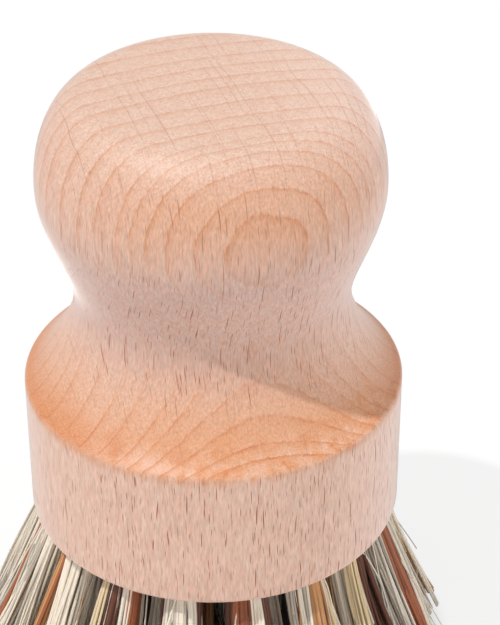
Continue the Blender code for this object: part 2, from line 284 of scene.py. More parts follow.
def block_profile(s):
    """The block's outline as (radius, height over the underside), from the top's middle down to the foot."""
    waist_height = s.wall_height + s.waist_rise
    knob_height = waist_height + s.knob_rise
    top_height = knob_height + s.cap_rise
    dome_radius = (s.top_radius**2 + s.dome_rise**2) / (2 * s.dome_rise)
    dome_angle = math.asin(s.top_radius / dome_radius)
    upright = math.pi / 2
    dome_centre = (0.0, top_height + s.dome_rise - dome_radius)
    dome = arc(dome_centre, dome_radius, upright, upright - dome_angle, 14)
    dome[0] = (0.0, top_height + s.dome_rise)

    cap_handle = (
        s.top_radius + s.top_ease * math.cos(dome_angle),
        top_height - s.top_ease * math.sin(dome_angle),
    )
    knob = (s.knob_radius, knob_height)
    cap = ease(dome[-1], cap_handle, (s.knob_radius, knob_height + s.knob_ease_above), knob, 26)
    waist = (s.waist_radius, waist_height)
    knob_handle = (s.knob_radius, knob_height - s.knob_ease_below)
    neck = ease(knob, knob_handle, (s.waist_radius, waist_height + s.waist_ease_above), waist, 22)

    rim_turn = upright - s.shoulder_slope
    rim_centre = (
        s.base_radius - s.rim_rounding,
        s.wall_height - s.rim_rounding * math.tan(rim_turn / 2),
    )
    rim = arc(rim_centre, s.rim_rounding, rim_turn, 0.0, 8)
    shoulder_handle = (
        rim[0][0] - s.shoulder_run * math.cos(s.shoulder_slope),
        rim[0][1] + s.shoulder_run * math.sin(s.shoulder_slope),
    )
    shoulder = ease(waist, (s.waist_radius, waist_height - s.waist_ease_below), shoulder_handle, rim[0], 18)
    foot_centre = (s.base_radius - s.foot_rounding, s.foot_rounding)
    foot = arc(foot_centre, s.foot_rounding, 0.0, -upright, 8)
    wall = [(s.base_radius, rim[-1][1] + (foot[0][1] - rim[-1][1]) * i / 6) for i in range(1, 6)]
    return dome + cap + [knob] + neck + [waist] + shoulder + rim + wall + foot


def turn_on_lathe(name, profile, steps):
    """Turns a solid: a point is drawn along the profile, which starts on the axis, and the line is spun."""
    deselect()
    bpy.ops.mesh.primitive_plane_add(size=0.001)
    piece = bpy.context.object
    piece.name = name
    bpy.ops.object.mode_set(mode="EDIT")
    bpy.ops.mesh.merge(type="CENTER")
    bpy.ops.transform.translate(value=(profile[0][0], 0.0, profile[0][1]))
    for (radius, height), (next_radius, next_height) in zip(profile, profile[1:]):
        step = (next_radius - radius, 0.0, next_height - height)
        bpy.ops.mesh.extrude_vertices_move(TRANSFORM_OT_translate={"value": step})
    bpy.ops.mesh.select_all(action="SELECT")
    bpy.ops.mesh.spin(steps=steps, angle=2 * math.pi, center=(0, 0, 0), axis=(0, 0, 1))
    bpy.ops.mesh.select_all(action="SELECT")
    bpy.ops.mesh.remove_doubles(threshold=1e-6)
    bpy.ops.mesh.select_all(action="DESELECT")
    bpy.ops.mesh.select_non_manifold()
    bpy.ops.mesh.edge_face_add()
    bpy.ops.mesh.select_all(action="SELECT")
    bpy.ops.mesh.normals_make_consistent(inside=False)
    bpy.ops.object.mode_set(mode="OBJECT")
    return piece


def ring_radius(ring, block, tufts):
    """The radius of a ring of holes at the block's underside."""
    outer = block.base_radius - tufts.edge_wood - tufts.hole_radius
    inner = (2 * tufts.hole_radius + tufts.inner_web) / (2 * math.sin(math.pi / RINGS["inner"]))
    return {"inner": inner, "middle": (inner + outer) / 2, "outer": outer}[ring]


def holes(block, tufts):
    """Each hole as (ring, number in its ring, bearing, radius, tilt): the holes fan out from the axis."""
    found = []
    for ring, count in RINGS.items():
        radius = ring_radius(ring, block, tufts)
        tilt = tufts.splay * radius / ring_radius("outer", block, tufts)
        found += [(ring, i + 1, 2 * math.pi * (i + 0.5) / count, radius, tilt) for i in range(count)]
    return found


def hole_frame(bearing, radius, tilt):
    """A hole's own axes: origin in its mouth, X outwards, Y along the rim and Z into the wood."""
    mouth = Matrix.Translation((radius, 0.0, BLOCK_LOW.z))
    return Matrix.Rotation(bearing, 4, "Z") @ mouth @ Matrix.Rotation(-tilt, 4, "Y")


def bore(block, frames, radius, low, high, sides, across=0.0):
    """Drills the block along each frame's Z from low to high, beside its axis by across."""
    cutters = []
    for place in frames:
        deselect()
        bpy.ops.mesh.primitive_cylinder_add(vertices=sides, radius=radius, depth=high - low)
        cutter = bpy.context.object
        cutter.matrix_world = place @ Matrix.Translation((0.0, across, (low + high) / 2))
        cutters.append(cutter)
    deselect()
    for cutter in cutters:
        cutter.select_set(True)
    bpy.context.view_layer.objects.active = cutters[0]
    bpy.ops.object.join()
    drill = bpy.context.object
    select_only(block)
    bpy.ops.object.modifier_add(type="BOOLEAN")
    cut = block.modifiers[-1]
    cut.operation = "DIFFERENCE"
    cut.solver = "EXACT"
    cut.object = drill
    bpy.ops.object.modifier_apply(modifier=cut.name)
    bpy.data.objects.remove(drill)


# Fibres


def draw_kind(rng):
    """A kind of fibre, drawn by its share of the mix."""
    return rng.choices(list(FIBRE_KINDS), FIBRE_KINDS.values())[0]


def scatter(rng, size):
    return Vector((rng.gauss(0, size), rng.gauss(0, size)))


def fibre_radius(rng, kind, tufts):
    """Palm fibre is coarser than agave."""
    fine, coarse = tufts.fine_radius, tufts.coarse_radius
    if kind in ("russet", "umber"):
        return rng.uniform((fine + coarse) / 2, coarse)
    return fine + (coarse * 0.9 - fine) * rng.random()


def draw_locks(rng, hole, tufts):
    """Locks of like fibres, side by side: where each is rooted, its kind, and how its two ends run."""
    room = tufts.hole_radius * 0.9
    curl, facing = FACING_TUFTS.get(hole[1], (1.0, "")) if hole[0] == "outer" else (1.0, "")
    named = facing.split()
    locks = []
    for i in range(tufts.locks):
        across = room * ((2 * i + rng.uniform(0.6, 1.4)) / tufts.locks - 1)
        out = math.sqrt(room**2 - across**2) * rng.uniform(0.15, 0.85)
        ends = [
            {
                "spread": tufts.tip_spread * rng.uniform(0.86, 1.1) / tufts.hole_radius,
                "pace": rng.uniform(0.6, 1.0),
                "stray": scatter(rng, tufts.wander),
                "bow": scatter(rng, tufts.wander * 0.5),
                "bend": tufts.tip_bend * curl,
            }
            for end in range(2)
        ]
        kind = named[i] if i < len(named) else draw_kind(rng)
        locks.append((Vector((out, across)), kind, ends))
    return locks


def half_fibre(rng, root, thickness, end, loose, hole, tufts):
    """One end of a folded fibre from the mouth of its hole to its tip, as (point, thickness) pairs."""
    bearing, radius, tilt = hole[2:]
    share = tilt / tufts.splay
    drop = BLOCK_LOW.z
    stray = end["stray"] + scatter(rng, tufts.wander * 0.3 * loose)
    bow = end["bow"] + scatter(rng, tufts.wander * 0.2 * loose)
    kink = scatter(rng, tufts.wander * 0.12 * loose)
    tip = thickness + abs(rng.gauss(0, tufts.trim))
    length_share = rng.uniform(0.6, 0.96) if rng.random() < tufts.broken else 1.0
    about = Matrix.Rotation(bearing, 4, "Z")
    points = []
    for step in range(HALF_FIBRE_POINTS):
        t = length_share * step / (HALF_FIBRE_POINTS - 1)
        middle = radius + math.tan(tilt) * drop * t + end["bend"] * share * t**1.6
        aside = root * (1 + (end["spread"] - 1) * t ** end["pace"]) + stray * t**1.3
        aside += bow * math.sin(math.pi * t) + kink * math.sin(2 * math.pi * t)
        point = about @ Vector((middle + aside.x, aside.y, drop + (tip - drop) * t))
        points.append((point, thickness * (1 - 0.25 * t)))
    mouth = points[0][0].xy.length
    widest = max(point.xy.length for point, width in points)
    if widest > tufts.reach:
        rein = (tufts.reach - mouth) / (widest - mouth)
        for point, width in points:
            away = point.xy.length
            point.xy = point.xy * ((mouth + (away - mouth) * rein) / away)
    return points


def folded_fibre(rng, root, thickness, ends, loose, hole, tufts):
    """A whole fibre, tip to tip: down its hole, under the staple's crown and out again."""
    place = hole_frame(*hole[2:])
    crown = tufts.hole_depth - tufts.crown_height
    clear = tufts.wire_radius * 1.3 + thickness
    halves, bends = [], []
    for side, end in zip((1, -1), ends):
        start = Vector((side * root.x, root.y))
        halves.append(half_fibre(rng, start, thickness, end, loose, hole, tufts))
        # Down the hole, in beside the wire, and round under it
        inside = (
            (side * root.x, root.y * 0.8, crown * 0.6),
            (side * max(root.x * 0.8, clear), root.y * 0.5, crown),
            (side * clear * 0.8, root.y * 0.45, crown + clear),
        )
        bends.append([(place @ Vector(point), thickness) for point in inside])
    deepest = (place @ Vector((0.0, root.y * 0.45, crown + clear * 1.35)), thickness)
    return halves[0][::-1] + bends[0] + [deepest] + bends[1][::-1] + halves[1]


def tuft_fibres(name, hole, finishes, tufts, rng):
    """One tuft as a mesh, with how far along each fibre a point lies and how pale that fibre is."""
    deselect()
    bpy.ops.curve.primitive_nurbs_path_add()
    piece = bpy.context.object
    piece.name = name
    curve = piece.data
    curve.splines.clear()
    curve.dimensions = "3D"
    curve.bevel_depth = 1.0
    curve.bevel_resolution = 0
    curve.use_fill_caps = True
    for finish in finishes:
        curve.materials.append(finish)
    locks = draw_locks(rng, hole, tufts)
    shades = []
    for i in range(tufts.fibres):
        turn, away = rng.uniform(-math.pi / 2, math.pi / 2), tufts.hole_radius * math.sqrt(rng.random())
        spot = Vector((away * math.cos(turn), away * math.sin(turn)))
        root, kind, ends = min(locks, key=lambda lock: (lock[0] - spot).length)
        if rng.random() > tufts.purity:
            kind = draw_kind(rng)
        thickness, loose = fibre_radius(rng, kind, tufts), 1.0
        if rng.random() < tufts.loose:
            thickness, loose, kind = tufts.fine_radius * 0.7, 8.0, "cream"
        room = tufts.hole_radius - thickness - FIBRE_GAP
        if spot.length > room:
            spot *= room / spot.length
        path = folded_fibre(rng, spot, thickness, ends, loose, hole, tufts)
        spline = curve.splines.new("POLY")
        spline.points.add(len(path) - 1)
        spline.material_index = list(FIBRE_KINDS).index(kind)
        for point, (place, width) in zip(spline.points, path):
            point.co = (*place, 1.0)
            point.radius = width
        shade = rng.random()
        runs = [abs(2 * k / (len(path) - 1) - 1) for k in range(len(path))]
        shades += [(shade, run) for run in runs for side in range(FIBRE_SIDES)]
        # The two closed ends come after the sides
        shades += [(shade, 1.0)] * (2 * FIBRE_SIDES)
    select_only(piece)
    bpy.ops.object.convert(target="MESH")
    piece = bpy.context.object
    mesh = piece.data
    if len(mesh.vertices) != len(shades):
        raise RuntimeError("{}: {} points and {} shades".format(name, len(mesh.vertices), len(shades)))
    tone = mesh.attributes.new("tone", "FLOAT", "POINT")
    tone.data.foreach_set("value", [shade for shade, run in shades])
    along = mesh.attributes.new("along", "FLOAT", "POINT")
    along.data.foreach_set("value", [run for shade, run in shades])
    bpy.ops.object.mode_set(mode="EDIT")
    bpy.ops.mesh.select_all(action="SELECT")
    bpy.ops.mesh.remove_doubles(threshold=1e-6)
    bpy.ops.mesh.normals_make_consistent(inside=False)
    bpy.ops.object.mode_set(mode="OBJECT")
    bpy.ops.object.shade_smooth()
    return piece


# Materials


def feed(tree, node, inputs):
    """Sets a node's sockets to values or links them to outputs. A node stands for its first output in use."""
    for key, value in inputs.items():
        if isinstance(value, bpy.types.Node):
            value = next(output for output in value.outputs if output.enabled)
        if isinstance(value, bpy.types.NodeSocket):
            tree.links.new(value, node.inputs[key])
        else:
            node.inputs[key].default_value = value


def add_node(tree, kind, inputs=None, **settings):
    """Adds a node. Settings are its own options, and inputs are fed to its sockets."""
    made = tree.nodes.new("ShaderNode" + kind)
    for name, value in settings.items():
        setattr(made, name, value)
    feed(tree, made, inputs or {})
    return made


def new_material(name):
    material = bpy.data.materials.new(name)
    material.use_nodes = True
    return material, material.node_tree, material.node_tree.nodes["Principled BSDF"]


def set_ramp(ramp, stops):
    """Grey stops for a colour ramp, as (position, value)."""
    while len(ramp.elements) < len(stops):
        ramp.elements.new(0.5)
    for element, (position, value) in zip(ramp.elements, stops):
        element.position = position
        element.color = (value, value, value, 1.0)


def growth_rings(tree, grain, level, ragged):
    """How dark the late wood is: the way towards the bark, bent and wavering, looked up in the ring edges."""
    drift = add_node(tree, "TexNoise", {"Vector": grain, "Scale": 0.08, "Detail": 2.0, "Roughness": 0.6})
    across = add_node(tree, "SeparateXYZ", {0: grain}).outputs["X"]
    square = add_node(tree, "Math", {0: across, 1: across}, operation="MULTIPLY")
    depth = add_node(tree, "Math", {0: square, 1: RING_BEND, 2: level}, operation="MULTIPLY_ADD")
    for noise, reach in ((drift, 0.5), (ragged, 0.22)):
        sway = add_node(tree, "MapRange", {0: noise, 3: -reach, 4: reach})
        depth = add_node(tree, "Math", {0: depth, 1: sway}, operation="ADD")
    first, last, count = RING_EDGES[0], RING_EDGES[-1], len(RING_EDGES) - 1
    share = add_node(tree, "MapRange", {0: depth, 1: first, 2: last})
    lookup = add_node(tree, "FloatCurve", {1: share})
    points = lookup.mapping.curves[0].points
    for i, edge in enumerate(RING_EDGES[1:-1], 1):
        points.new((edge - first) / (last - first), i / count)
    for point in points:
        point.handle_type = "VECTOR"
    lookup.mapping.update()
    turns = add_node(tree, "Math", {0: lookup, 1: float(count)}, operation="MULTIPLY")
    age = add_node(tree, "Math", {0: turns}, operation="FRACT")
    late = add_node(tree, "ValToRGB", {0: age})
    stops = ((0.0, 0.95), (0.05, 0.82), (0.13, 0.42), (0.3, 0.2), (0.6, 0.08), (0.94, 0.0), (1.0, 0.45))
    set_ramp(late.color_ramp, stops)
    patchy = add_node(tree, "TexNoise", {"Vector": grain, "Scale": 0.35, "Detail": 3.0, "Roughness": 0.7})
    strength = add_node(tree, "MapRange", {0: patchy, 1: 0.3, 2: 0.7, 3: 0.35, 4: 1.0})
    return add_node(tree, "Math", {0: late, 1: strength}, operation="MULTIPLY")


def ray_mask(tree, grain, cell, half, waver):
    """1 inside the wood's rays: one flat ellipsoid to each cell, with both sizes in millimetres."""
    wave = add_node(tree, "TexNoise", {"Vector": grain, "Scale": 0.12, "Detail": 1.0}).outputs["Color"]
    centred = add_node(tree, "VectorMath", {0: wave, 1: (0.5, 0.5, 0.5)}, operation="SUBTRACT")
    along = (waver, 0.0, 0.0)
    swung = add_node(tree, "VectorMath", {0: centred, 1: along, 2: grain}, operation="MULTIPLY_ADD")
    scaled = add_node(tree, "VectorMath", {0: swung, 1: cell}, operation="DIVIDE")
    cells = add_node(tree, "TexVoronoi", {"Vector": scaled, "Scale": 1.0}).outputs
    offset = add_node(tree, "VectorMath", {0: scaled, 1: cells["Position"]}, operation="SUBTRACT")
    stretch = tuple(c / h for c, h in zip(cell, half))
    near = add_node(tree, "VectorMath", {0: offset, 1: stretch}, operation="MULTIPLY")
    distance = add_node(tree, "VectorMath", {0: near}, operation="LENGTH")
    chance = add_node(tree, "SeparateColor", {0: cells["Color"]}).outputs
    size = add_node(tree, "MapRange", {0: chance[0], 3: 0.55, 4: 1.25})
    edge = add_node(tree, "Math", {0: distance, 1: size}, operation="DIVIDE")
    inside = add_node(tree, "MapRange", {0: edge, 1: 1.0, 2: 0.55}, interpolation_type="SMOOTHSTEP")
    depth = add_node(tree, "MapRange", {0: chance[1], 3: 0.35, 4: 1.0})
    return add_node(tree, "Math", {0: inside, 1: depth}, operation="MULTIPLY")


def ray_layers(tree, grain, surface, end, below, zone, s):
    """How strongly the big and the small rays show: most where the face runs along the growth rings.

    They are flat ribbons through the rings, thin along them and a few millimetres high, and those at the
    knob's top run on as long threads. They are fainter on end grain and on the closed grain of the shoulder.
    """
    facing = (math.sin(s.ring_bearing), -math.cos(s.ring_bearing), 0.0)
    square_on = add_node(tree, "VectorMath", {0: surface, 1: facing}, operation="DOT_PRODUCT")
    across = add_node(tree, "Math", {0: square_on}, operation="ABSOLUTE")
    clear = add_node(tree, "MapRange", {0: across, 1: 0.1, 2: 0.7, 3: 0.2, 4: 0.92})
    fading = add_node(tree, "MapRange", {0: zone["fading rays"], 3: 1.15, 4: 0.6})
    closing = add_node(tree, "MapRange", {0: below, 1: 0.25, 2: 0.8, 3: 1.0, 4: 0.25})
    for factor in (fading, closing):
        clear = add_node(tree, "Math", {0: clear, 1: factor}, operation="MULTIPLY")
    layers = []
    for cell, half, waver, on_end_grain in (
        ((1.25, 26.0, 5.2), (0.095, 12.0, 2.2), 1.0, 0.25),
        ((0.6, 9.0, 2.8), (0.06, 3.8, 1.05), 0.5, 0.14),
    ):
        mask = ray_mask(tree, grain, cell, half, waver)
        shown = add_node(tree, "Mix", {0: end, 2: clear, 3: on_end_grain})
        layers.append(add_node(tree, "Math", {0: mask, 1: shown}, operation="MULTIPLY"))
    tall = ray_mask(tree, grain, (1.9, 36.0, 60.0), (0.10, 15.0, 36.0), 1.0)
    top = add_node(tree, "Math", {0: zone["knob's top"], 1: 0.36}, operation="MULTIPLY")
    thread = add_node(tree, "Math", {0: tall, 1: top}, operation="MULTIPLY")
    return add_node(tree, "Math", {0: layers[0], 1: thread}, operation="MAXIMUM"), layers[1]


def shoulder_and_rim(tree, away, height, slope, bark, s):
    """1 on the shoulder's outer part and over the rim. It reaches further in on the side under the bark."""
    # How far the change takes to grow, and how much further in it starts towards the bark, in metres
    growing, further = 0.0066, 0.0027
    start = add_node(tree, "Math", {0: bark, 1: further, 2: away}, operation="MULTIPLY_ADD")
    outer = add_node(tree, "MapRange", {0: start, 1: s.waist_radius, 2: s.waist_radius + growing})
    up = add_node(tree, "MapRange", {0: slope, 1: 0.3, 2: 0.8})
    rim_height = (BLOCK_LOW.z + s.wall_height) * 1000
    edge = add_node(tree, "MapRange", {0: height, 1: rim_height - 1.8, 2: rim_height + 0.4, 4: 0.9})
    either = add_node(tree, "Math", {0: up, 1: edge}, operation="MAXIMUM")
    return add_node(tree, "Math", {0: outer, 1: either}, operation="MULTIPLY")


def burnished_grain(tree, grain, slope, shoulder, knob, bark, band, spots):
    """How warm the sloping grain is: the shoulder, and the knob on the side under the bark, with pale spots
    along the rim as painted highlights.
    """
    front = add_node(tree, "MapRange", {0: slope, 1: -0.25, 2: 0.15, 4: 0.58})
    falling = add_node(tree, "MapRange", {0: slope, 1: 0.35, 2: 0.9, 3: 1.0, 4: 0.0})
    for factor in (falling, bark, knob):
        front = add_node(tree, "Math", {0: front, 1: factor}, operation="MULTIPLY")
    # Painted highlight: in spots in the band along the rim, on the side under the bark, the warmth is taken
    # out
    painted_rim_highlight = add_node(tree, "MapRange", {0: spots, 1: 0.52, 2: 0.36, 4: 0.7})
    for factor in (band, bark):
        painted_rim_highlight = add_node(tree, "Math", {0: painted_rim_highlight, 1: factor}, operation="MULTIPLY")
    kept = add_node(tree, "Math", {0: 1.0, 1: painted_rim_highlight}, operation="SUBTRACT")
    blotch = add_node(tree, "TexNoise", {"Vector": grain, "Scale": 0.11, "Detail": 3.0})
    blotchy = add_node(tree, "MapRange", {0: blotch, 1: 0.3, 2: 0.7, 3: 0.8, 4: 1.05})
    warm = add_node(tree, "Math", {0: shoulder, 1: front}, operation="MAXIMUM")
    for factor in (blotchy, kept):
        warm = add_node(tree, "Math", {0: warm, 1: factor}, operation="MULTIPLY")
    return warm


def ring_lines(tree, rings, end, shoulder, under_knob, bark):
    """How strongly the late wood shows: least on the wall and neck, and most on the shoulder."""
    plain = add_node(tree, "MapRange", {0: under_knob, 3: 0.85, 4: 0.1})
    firm = add_node(tree, "Mix", {0: end, 2: plain, 3: 0.62})
    barkward = add_node(tree, "MapRange", {0: bark, 3: 0.95, 4: 1.1})
    barked = add_node(tree, "Math", {0: shoulder, 1: barkward}, operation="MULTIPLY")
    firmer = add_node(tree, "Math", {0: barked, 1: 0.75, 2: firm}, operation="MULTIPLY_ADD")
    return add_node(tree, "Math", {0: rings, 1: firmer}, operation="MULTIPLY")


def rim_stains(tree, shoulder, bark, band, spots):
    """Stains in the band along the rim: in spots, and all over on the side away from the bark."""
    spot = add_node(tree, "MapRange", {0: spots, 1: 0.5, 2: 0.62, 4: 0.9})
    pithward = add_node(tree, "MapRange", {0: bark, 1: 0.2, 2: 0.8, 3: 0.55, 4: 0.0})
    stain = add_node(tree, "Math", {0: spot, 1: pithward}, operation="MAXIMUM")
    for factor in (band, shoulder):
        stain = add_node(tree, "Math", {0: stain, 1: factor}, operation="MULTIPLY")
    return stain


def turned_beech(s):
    """Steamed beech, turned and sanded and left bare.

    It is pale and pinkish, with thin late-wood lines where a growth ring ends. Its rays show as dark flecks
    along the grain and as fine straight lines across the rings on end grain. Sloping grain is warmer.
    """
    material, tree, shader = new_material("turned_beech")
    place = add_node(tree, "TexCoord").outputs["Object"]
    # Millimetres, with X along the growth rings, Y back through them and Z up the grain
    turn, enlarged = (0.0, 0.0, -s.ring_bearing), (1000, 1000, 1000)
    grain = add_node(tree, "Mapping", {"Vector": place, "Rotation": turn, "Scale": enlarged})
    split = add_node(tree, "SeparateXYZ", {0: grain})
    height = split.outputs["Z"]
    through = add_node(tree, "VectorMath", {0: grain, 1: (0.0, -1.0, s.ring_tilt)}, operation="DOT_PRODUCT")
    level = add_node(tree, "Math", {0: through, 1: -RING_HEIGHT * s.ring_tilt}, operation="ADD")
    bark = add_node(
        tree, "MapRange", {0: level, 1: 8.0, 2: 26.0, 3: 0.2, 4: 1.0}, interpolation_type="SMOOTHSTEP"
    )

    # Streaks, fibres and pores, with the last two drawn twice as coarse as real ones so that they show
    noises = []
    for scale, detail, roughness in (
        ((1.5, 1.5, 0.3), 3.0, 0.7),
        ((4.0, 4.0, 0.55), 3.0, 0.5),
        ((6.5, 6.5, 0.6), 1.0, 0.5),
    ):
        long = add_node(tree, "Mapping", {"Vector": grain, "Scale": scale})
        noise = {"Vector": long, "Scale": 1.0, "Detail": detail, "Roughness": roughness}
        noises.append(add_node(tree, "TexNoise", noise))
    ragged, fibres, pores = noises
    spots = add_node(tree, "TexNoise", {"Vector": grain, "Scale": 0.36, "Detail": 4.0, "Roughness": 0.65})

    # End grain by the surface's slope, the parts of the block by height, and a band in along the rim
    surface = add_node(tree, "NewGeometry").outputs["Normal"]
    slope = add_node(tree, "SeparateXYZ", {0: surface}).outputs["Z"]
    steep = add_node(tree, "Math", {0: slope}, operation="ABSOLUTE")
    end = add_node(tree, "MapRange", {0: steep, 1: 0.25, 2: 0.95}, interpolation_type="SMOOTHSTEP")
    waist = (BLOCK_LOW.z + s.wall_height + s.waist_rise) * 1000
    zone = {
        name: add_node(tree, "MapRange", {0: height, 1: waist + start, 2: waist + stop})
        for name, (start, stop) in WOOD_ZONES.items()
    }
    under_knob = zone["under the knob"]
    # The neck, from just below the waist up to under the knob, is greyed with painted shade
    neck = add_node(tree, "Math", {0: under_knob, 1: zone["over the shoulder"]}, operation="MULTIPLY")
    flat = add_node(tree, "VectorMath", {0: place, 1: (1.0, 1.0, 0.0)}, operation="MULTIPLY")
    away = add_node(tree, "VectorMath", {0: flat}, operation="LENGTH")
    band = add_node(tree, "MapRange", {0: away, 1: s.base_radius - 0.0050, 2: s.base_radius - 0.0010})

    outer = shoulder_and_rim(tree, away, height, slope, bark, s)
    below = add_node(tree, "Math", {0: outer, 1: zone["shoulder"]}, operation="MULTIPLY")
    more = add_node(tree, "MapRange", {0: bark, 3: 1.0, 4: 1.05})
    shoulder = add_node(tree, "Math", {0: below, 1: more}, operation="MULTIPLY", use_clamp=True)

    rings = growth_rings(tree, grain, level, ragged)
    lines = ring_lines(tree, rings, end, shoulder, under_knob, bark)
    stains = rim_stains(tree, shoulder, bark, band, spots)
    big_rays, small_rays = ray_layers(tree, grain, surface, end, below, zone, s)
    wood = s.face_grain
    for amount, layer in (
        (neck, s.neck_painted_shade),
        (end, s.end_grain),
        (add_node(tree, "MapRange", {0: ragged, 1: 0.38, 2: 0.68, 4: 0.5}), s.blush),
        # Painted sheen: the wood grows paler towards the right side, as light reflected at grazing angles
        # would make it
        (add_node(tree, "MapRange", {0: split.outputs["X"], 1: 6.0, 2: 28.0, 4: 0.6}), s.painted_right_sheen),
        (burnished_grain(tree, grain, slope, shoulder, zone["knob"], bark, band, spots), s.burnished),
        (add_node(tree, "Math", {0: lines, 1: stains}, operation="MAXIMUM"), s.late_wood),
        (big_rays, s.ray),
        (small_rays, s.ray),
        (add_node(tree, "MapRange", {0: pores, 1: 0.62, 2: 0.76, 4: 0.16}), s.ray),
    ):
        wood = add_node(tree, "Mix", {FACTOR: amount, COLOUR_A: wood, COLOUR_B: layer}, data_type="RGBA")
    tone = add_node(tree, "MapRange", {0: fibres, 1: 0.3, 2: 0.7, 3: 0.84, 4: 1.12})
    toned = add_node(tree, "VectorMath", {0: wood, 1: tone}, operation="MULTIPLY")
    rough = add_node(tree, "MapRange", {0: fibres, 1: 0.3, 2: 0.7, 3: 0.44, 4: 0.56})
    relief = add_node(tree, "Math", {0: fibres, 1: big_rays}, operation="SUBTRACT")
    bump = add_node(tree, "Bump", {"Strength": 0.25, "Distance": 0.00008, "Height": relief})
    feed(tree, shader, {"Base Color": toned, "Roughness": rough, "Normal": bump})
    feed(tree, shader, {"Sheen Weight": 0.75, "Sheen Roughness": 0.3})
    return material


def plant_fibre(name, base, roughness, gloss):
    """Split and trimmed plant fibre: dull and slightly waxy, each one lighter or darker than the next.

    It is streaked along its length, and darker where it is packed in its hole.
    """
    material, tree, shader = new_material(name)
    tone = add_node(tree, "Attribute", attribute_name="tone").outputs["Fac"]
    along = add_node(tree, "Attribute", attribute_name="along").outputs["Fac"]
    place = add_node(tree, "TexCoord").outputs["Object"]
    # Streaks about 0.3 mm wide and 4 mm long, several times as coarse as real ones so that they show
    stretched = add_node(tree, "Mapping", {"Vector": place, "Scale": (3500, 3500, 260)})
    streak = add_node(tree, "TexNoise", {"Vector": stretched, "Scale": 1.0, "Detail": 2.0})
    value = add_node(tree, "MapRange", {0: tone, 3: 0.95, 4: 1.0})
    streaked = add_node(tree, "MapRange", {0: streak, 1: 0.3, 2: 0.7, 3: 0.94, 4: 1.0})
    root = add_node(tree, "MapRange", {0: along, 1: 0.15, 2: 0.36, 3: 0.6, 4: 1.0})
    for factor in (streaked, root):
        value = add_node(tree, "Math", {0: value, 1: factor}, operation="MULTIPLY")
    hue = add_node(tree, "HueSaturation", {"Color": base, "Value": value})
    bump = add_node(tree, "Bump", {"Strength": 0.3, "Distance": 0.00005, "Height": streak})
    feed(tree, shader, {"Base Color": hue, "Roughness": roughness, "Normal": bump})
    feed(tree, shader, {"Specular IOR Level": gloss, "Sheen Weight": gloss * 0.8})
    return material


def drawn_steel(s):
    """Bright low-carbon steel wire: drawing leaves fine lines along it, so its gloss is slightly broken."""
    material, tree, shader = new_material("drawn_steel_wire")
    place = add_node(tree, "TexCoord").outputs["Object"]
    # Lines about 0.1 mm wide and 2 mm long, several times as coarse as real ones so that they show
    lines = add_node(tree, "Mapping", {"Vector": place, "Scale": (9000, 9000, 500)})
    streak = add_node(tree, "TexNoise", {"Vector": lines, "Scale": 1.0, "Detail": 2.0})
    rough = add_node(tree, "MapRange", {0: streak, 3: 0.22, 4: 0.42})
    dark = [c * 0.82 for c in s.steel[:3]] + [1.0]
    tint = add_node(tree, "Mix", {FACTOR: streak, COLOUR_A: dark, COLOUR_B: s.steel}, data_type="RGBA")
    feed(tree, shader, {"Base Color": tint, "Metallic": 1.0, "Roughness": rough})
    return material


def seen_directly(tree):
    """1 for what the camera sees by itself, in a reflection or through something clear."""
    path = add_node(tree, "LightPath").outputs
    seen = path["Is Camera Ray"]
    for ray in ("Is Glossy Ray", "Is Transmission Ray"):
        seen = add_node(tree, "Math", {0: seen, 1: path[ray]}, operation="ADD", use_clamp=True)
    return seen


def studio_floor(s):
    """Matt white board: it looks pure white, keeps the brush's soft shadow and throws pale light back."""
    material, tree, shader = new_material("matt_white_board")
    tree.nodes.remove(shader)
    place = add_node(tree, "TexCoord").outputs["Object"]
    away = add_node(tree, "VectorMath", {0: place}, operation="LENGTH")
    # The board's glow is left out under the brush as a painted contact shadow: it grows between these two
    # radii, in metres
    dark, bright = 0.030, 0.041
    clear = add_node(tree, "MapRange", {0: away, 1: dark, 2: bright}, interpolation_type="SMOOTHSTEP")
    white = add_node(tree, "Math", {0: clear, 1: 1 - s.shadow_share}, operation="MULTIPLY")
    glow = add_node(tree, "Emission", {"Strength": white})
    shade = add_node(tree, "BsdfDiffuse", {"Color": (s.shadow_share, s.shadow_share, s.shadow_share, 1)})
    shown = add_node(tree, "AddShader", {0: glow, 1: shade})
    plain = add_node(tree, "BsdfDiffuse", {"Color": linear("FBFBFB")})
    chosen = add_node(tree, "MixShader", {0: seen_directly(tree), 1: plain, 2: shown})
    feed(tree, tree.nodes["Material Output"], {"Surface": chosen})
    return material


def studio_sky(s):
    """Soft light all round with its own strength on each side, behind what the camera sees as plain white."""
    world = bpy.data.worlds.new("soft_studio_sky")
    world.use_nodes = True
    tree = world.node_tree
    way = add_node(tree, "SeparateXYZ", {0: add_node(tree, "TexCoord").outputs["Generated"]}).outputs
    total = 0.0
    for axis, sign, strength in (
        ("X", -1.0, s.left),
        ("X", 1.0, s.right),
        ("Y", 1.0, s.back),
        ("Y", -1.0, s.front),
        ("Z", 1.0, s.above),
    ):
        facing = add_node(tree, "Math", {0: way[axis], 1: sign}, operation="MULTIPLY", use_clamp=True)
        square = add_node(tree, "Math", {0: facing, 1: 2.0}, operation="POWER")
        total = add_node(tree, "Math", {0: square, 1: strength, 2: total}, operation="MULTIPLY_ADD")
    shown = add_node(tree, "MapRange", {0: seen_directly(tree), 3: total, 4: 1.0})
    feed(tree, tree.nodes["Background"], {"Color": (1, 1, 1, 1), "Strength": shown})
    return world


# Operators


